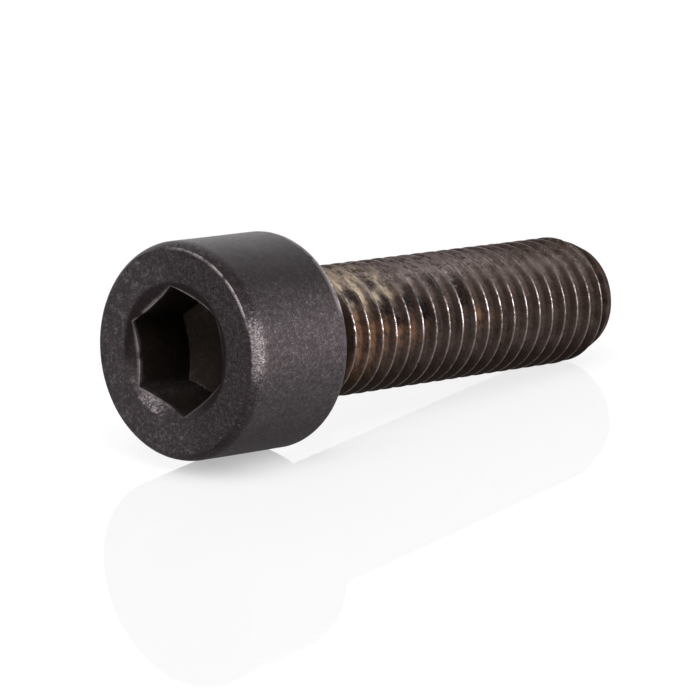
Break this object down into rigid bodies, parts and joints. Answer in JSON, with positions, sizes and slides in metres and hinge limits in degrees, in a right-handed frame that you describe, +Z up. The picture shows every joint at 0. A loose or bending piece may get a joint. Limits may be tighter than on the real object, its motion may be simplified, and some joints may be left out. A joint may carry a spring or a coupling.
{
  "type": "hex socket cap screw",
  "caption": "Hex socket cap screw with a cylindrical head and a coarse thread up to the head, black steel, lying on its side.",
  "frame": {"origin": "middle of the bounding box on the ground, under the screw as it lies at rest", "axes": "+X runs along the row from the head to the thread's end, +Z is up; the screw's own axis lies in the XZ plane and dips 5.4 degrees towards +X"},
  "size_m": [0.0454, 0.0158, 0.0166],
  "materials": {
    "black_steel": "matt black oxide"
  },
  "bodies": {
    "root": {"cap_screw": "black_steel"}
  },
  "joints": []
}
